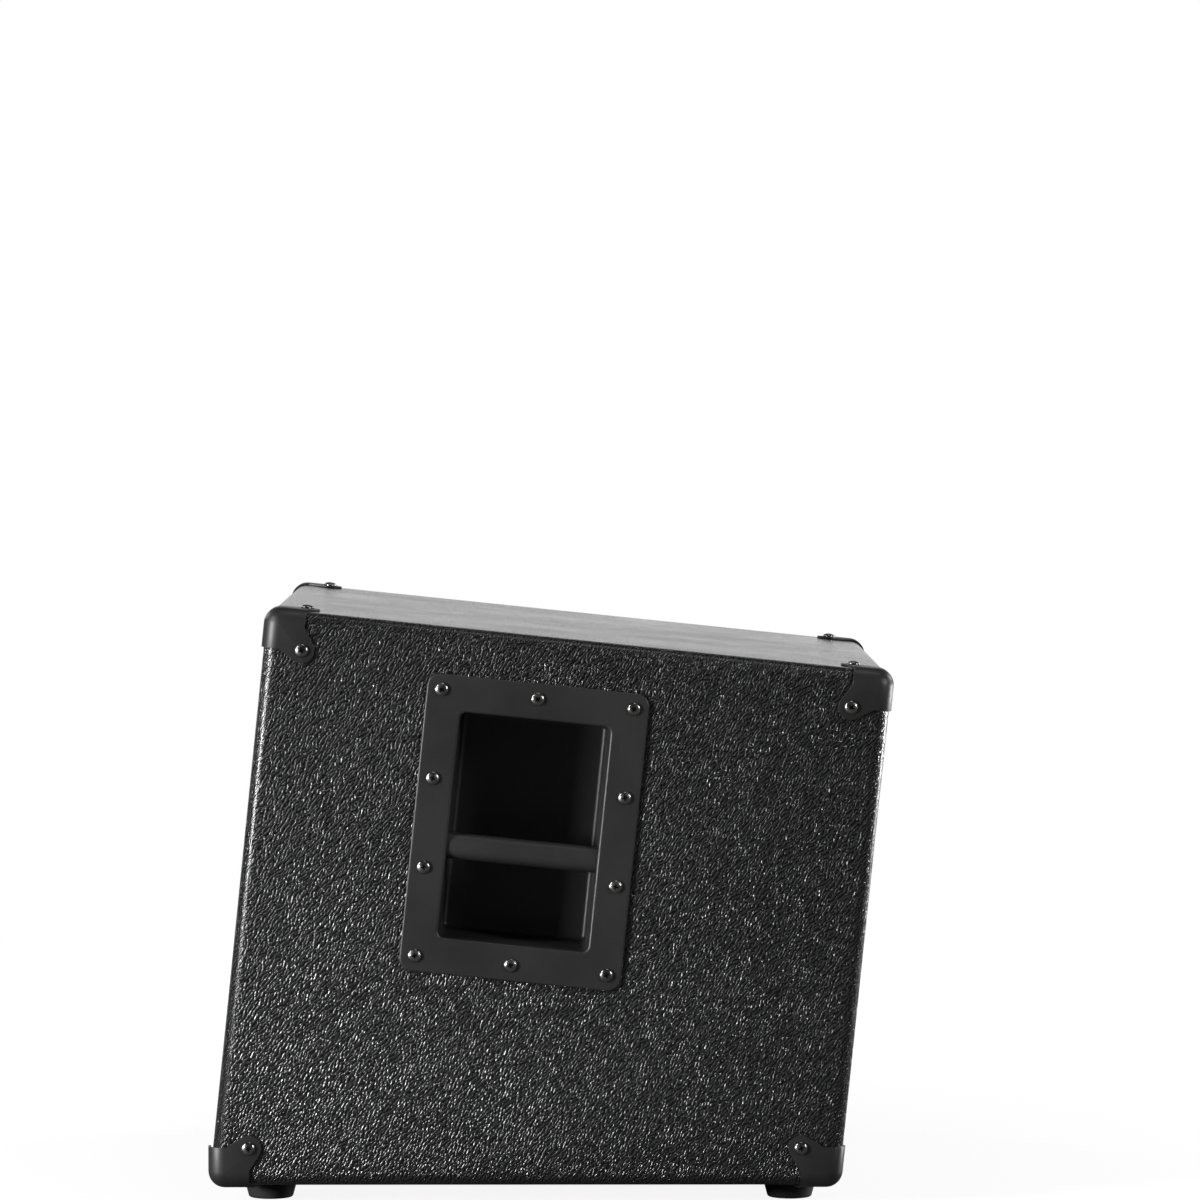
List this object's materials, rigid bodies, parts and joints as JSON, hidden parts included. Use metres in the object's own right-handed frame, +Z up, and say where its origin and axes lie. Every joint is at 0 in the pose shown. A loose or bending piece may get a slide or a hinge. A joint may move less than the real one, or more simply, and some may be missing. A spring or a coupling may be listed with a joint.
{
  "type": "bass speaker cabinet",
  "caption": "Slanted bass speaker cabinet in black pebbled vinyl, with corner caps, recessed bar handles, rubber feet, and a woofer, horn and ports behind a steel grille.",
  "frame": {"origin": "middle of the footprint, on the floor plane that the feet stand on", "axes": "+X to the right seen from the front, so the pictured side faces +X; -Y to the front, where the grille is; +Z up"},
  "size_m": [0.48, 0.4809, 0.4224],
  "materials": {
    "covering": "pebbled vinyl, low sheen",
    "screw_steel": "bright zinc plated",
    "black_screw_steel": "black oxide",
    "black_plastic": "satin moulding",
    "rubber": "matte",
    "plywood": "bare birch plywood",
    "painted_plywood": "flat black paint",
    "black_steel": "black powder coat",
    "foam_rubber": "matte",
    "ferrite": "dull ferrite",
    "plated_steel": "zinc plated",
    "cone_paper": "doped paper",
    "copper": "lacquered copper",
    "spider_cloth": "resin-stiffened cloth",
    "moulded_plastic": "fine moulded grain",
    "circuit_board": "lacquered laminate",
    "capacitor_film": "shrunk film",
    "wire_insulation": "soft insulation"
  },
  "bodies": {
    "cabinet": {"side_panel_left": "plywood", "side_panel_right": "plywood", "top_panel": "plywood", "bottom_panel": "plywood", "back_panel": "plywood", "baffle_board": "painted_plywood", "window_brace": "plywood", "battens": "plywood", "covering": "covering", "corner_top_front_left": "black_plastic", "corner_top_front_right": "black_plastic", "corner_top_back_left": "black_plastic", "corner_top_back_right": "black_plastic", "corner_bottom_front_left": "black_plastic", "corner_bottom_front_right": "black_plastic", "corner_bottom_back_left": "black_plastic", "corner_bottom_back_right": "black_plastic", "corner_screws": "screw_steel", "handle_tray_left": "black_plastic", "handle_tray_right": "black_plastic", "handle_bar_left": "black_plastic", "handle_bar_right": "black_plastic", "handle_screws": "screw_steel", "foot_front_left": "rubber", "foot_front_right": "rubber", "foot_back_left": "rubber", "foot_back_right": "rubber", "foot_screws": "screw_steel", "grille": "black_steel", "grille_screws": "black_screw_steel", "woofer_basket": "black_steel", "woofer_gasket": "foam_rubber", "woofer_top_plate": "plated_steel", "woofer_magnet": "ferrite", "woofer_back_plate": "plated_steel", "woofer_surround": "foam_rubber", "woofer_spider": "spider_cloth", "woofer_terminals": "copper", "woofer_bolts": "black_screw_steel", "horn_flare": "moulded_plastic", "horn_driver": "plated_steel", "horn_screws": "black_screw_steel", "port_tube_upper": "moulded_plastic", "port_tube_lower": "moulded_plastic", "crossover_board": "circuit_board", "crossover_coils": "copper", "crossover_capacitors": "capacitor_film", "input_plate": "black_steel", "socket_left": "black_plastic", "socket_right": "black_plastic", "level_control": "screw_steel", "input_screws": "screw_steel", "input_wires": "wire_insulation", "woofer_wire": "wire_insulation", "horn_wire": "wire_insulation"},
    "cone_assembly": {"woofer_cone": "cone_paper", "woofer_dust_cap": "cone_paper", "woofer_voice_coil": "copper"},
    "level_knob": {"level_knob": "black_plastic", "level_shaft": "screw_steel"}
  },
  "joints": [
    {"name": "cone_stroke", "type": "slide", "parent": "cabinet", "child": "cone_assembly", "axis": [0, -0.9947, 0.1028], "range_m": [-0.006, 0.006], "stiffness_N_per_m": 4000, "deforming": ["woofer_surround", "woofer_spider"]},
    {"name": "level_turn", "type": "hinge", "parent": "cabinet", "child": "level_knob", "pos_m": [-0.045, 0.22486, 0.15799], "axis": [0, 0.9947, -0.1028], "range_deg": [-150, 150]}
  ]
}
